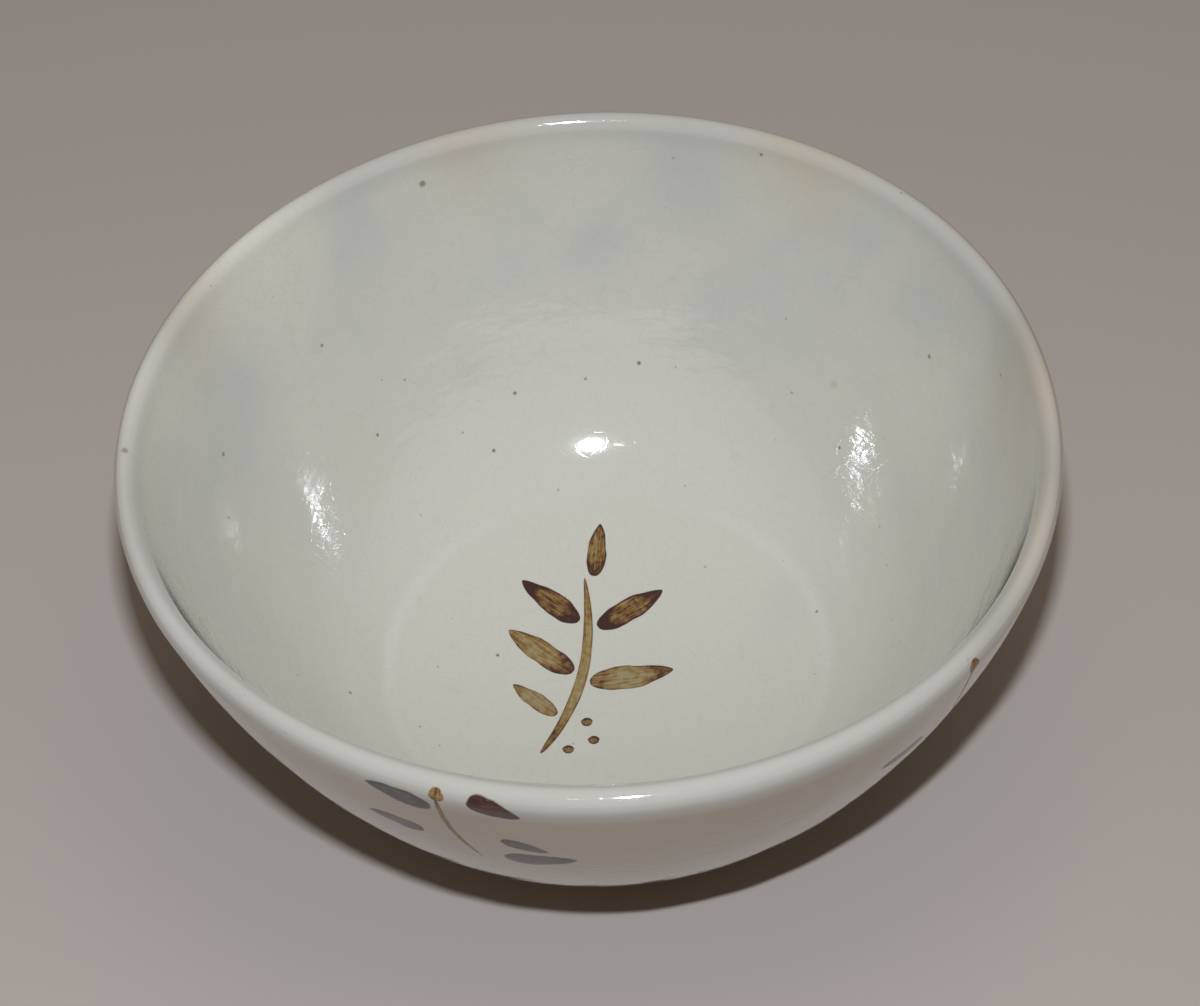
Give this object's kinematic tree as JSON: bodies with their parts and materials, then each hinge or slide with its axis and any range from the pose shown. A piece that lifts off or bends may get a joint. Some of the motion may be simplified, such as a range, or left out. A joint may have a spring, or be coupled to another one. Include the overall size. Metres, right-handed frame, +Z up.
{
  "type": "footed sweets bowl",
  "caption": "Deep round stoneware bowl with a flaring wall, round lip and low foot ring, ivory crackle glaze inside and out, and small painted leaf sprigs.",
  "frame": {"origin": "on the table under the middle of the foot", "axes": "+Z up along the axis of the bowl, -Y towards the viewer of the picture, +X to the right"},
  "size_m": [0.16, 0.16, 0.08],
  "materials": {
    "bare_stoneware": "fired clay, bare and slightly sandy",
    "ivory_glaze": "glossy ivory glaze with fine crackle and iron specks",
    "iron_wash": "thin iron wash fired into the glaze",
    "iron_brown": "thick iron pigment fired into the glaze",
    "cobalt_grey": "greyed cobalt pigment fired into the glaze"
  },
  "bodies": {
    "root": {"clay_bowl": "bare_stoneware", "foot_ring": "bare_stoneware", "inner_glaze": "ivory_glaze", "outer_glaze": "ivory_glaze", "well_stem": "iron_wash", "well_leaves": "iron_brown", "well_berries": "iron_brown", "wall_stems": "iron_wash", "grey_leaves": "cobalt_grey", "brown_leaf": "iron_brown"}
  },
  "joints": []
}
